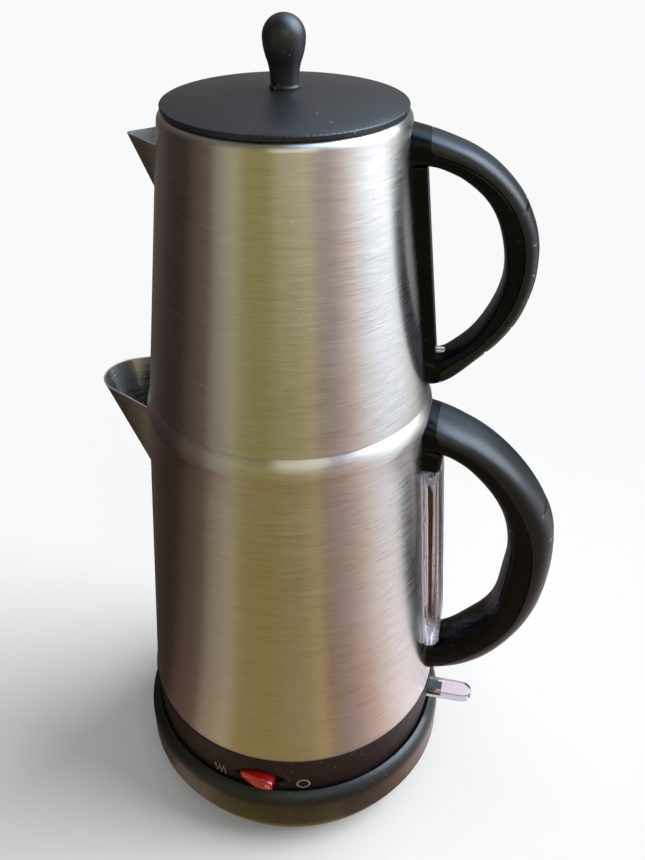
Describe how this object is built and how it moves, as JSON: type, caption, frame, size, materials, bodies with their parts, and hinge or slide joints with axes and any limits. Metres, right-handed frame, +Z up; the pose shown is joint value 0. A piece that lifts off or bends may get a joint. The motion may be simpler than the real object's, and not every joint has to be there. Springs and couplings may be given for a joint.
{
  "type": "two-tier electric tea maker",
  "caption": "Cordless steel kettle on a round power base, with a steel teapot standing in its mouth, black lid with ball knob, black loop handles, water gauge and switches.",
  "frame": {"origin": "centre of the round base, on the surface that its feet stand on", "axes": "+Z up along the axis of base, kettle and teapot; +X towards the kettle's handle, -X towards its spout, -Y towards the warm switch at the front"},
  "size_m": [0.2031, 0.1526, 0.3623],
  "materials": {
    "brushed_steel": "stainless sheet, brushed round the pot",
    "screw_steel": "plated",
    "aluminium": "as cast",
    "brass": "bare",
    "rubber": "matte",
    "base_plastic": "satin black",
    "band_plastic": "matte brown-black",
    "handle_satin": "satin black",
    "handle_gloss": "smooth black",
    "lid_plastic": "fine satin black",
    "inner_plastic": "moulded",
    "clear_plastic": "clear",
    "rocker_red": "clear red, glossy"
  },
  "bodies": {
    "base": {"base_shell": "base_plastic", "base_plate": "base_plastic", "base_feet": "rubber", "base_screws": "screw_steel", "cord_gland": "rubber", "terminal_block": "inner_plastic", "coupler_plug": "inner_plastic", "plug_contacts": "brass"},
    "coupler_socket": {"kettle_socket": "inner_plastic", "socket_contacts": "brass"},
    "kettle": {"kettle_body": "brushed_steel", "kettle_spout": "brushed_steel", "kettle_skirt": "band_plastic", "heater_plate": "brushed_steel", "heat_spreader": "aluminium", "heater_element": "aluminium", "control_block": "inner_plastic", "snap_disc": "brass", "control_pillars": "screw_steel", "steam_tube": "brushed_steel", "bottom_cover": "band_plastic", "cover_screws": "screw_steel", "gauge_window": "clear_plastic", "gauge_gasket": "rubber", "kettle_handle_shell": "handle_satin", "kettle_handle_liner": "handle_gloss", "kettle_handle_studs": "screw_steel", "kettle_handle_screws": "screw_steel", "switch_housing": "inner_plastic", "lever_carrier": "inner_plastic", "lever_pin": "screw_steel"},
    "lever": {"power_lever": "clear_plastic", "lever_arm": "inner_plastic"},
    "rocker": {"warm_rocker": "rocker_red"},
    "teapot": {"teapot_body": "brushed_steel", "teapot_floor": "brushed_steel", "teapot_spout": "brushed_steel", "teapot_handle_shell": "handle_satin", "teapot_handle_liner": "handle_gloss", "teapot_handle_studs": "screw_steel", "teapot_handle_screws": "screw_steel"},
    "lid": {"lid_disc": "lid_plastic", "lid_skirt": "lid_plastic", "lid_knob": "lid_plastic", "knob_screw": "screw_steel"}
  },
  "joints": [
    {"name": "kettle_lift", "type": "slide", "parent": "base", "child": "coupler_socket", "axis": [0, 0, 1], "range_m": [0, 0.08]},
    {"name": "kettle_turn", "type": "hinge", "parent": "coupler_socket", "child": "kettle", "pos_m": [0, 0, 0], "axis": [0, 0, 1], "continuous": true},
    {"name": "power_lever_tilt", "type": "hinge", "parent": "kettle", "child": "lever", "pos_m": [0.057, 0, 0.0432], "axis": [0, 1, 0], "range_deg": [0, 12]},
    {"name": "warm_switch_rock", "type": "hinge", "parent": "kettle", "child": "rocker", "pos_m": [0, -0.06697, 0.043], "axis": [0, 0, 1], "range_deg": [0, 28]},
    {"name": "teapot_lift", "type": "slide", "parent": "kettle", "child": "teapot", "axis": [0, 0, 1], "range_m": [0, 0.08]},
    {"name": "lid_lift", "type": "slide", "parent": "teapot", "child": "lid", "axis": [0, 0, 1], "range_m": [0, 0.06]}
  ]
}
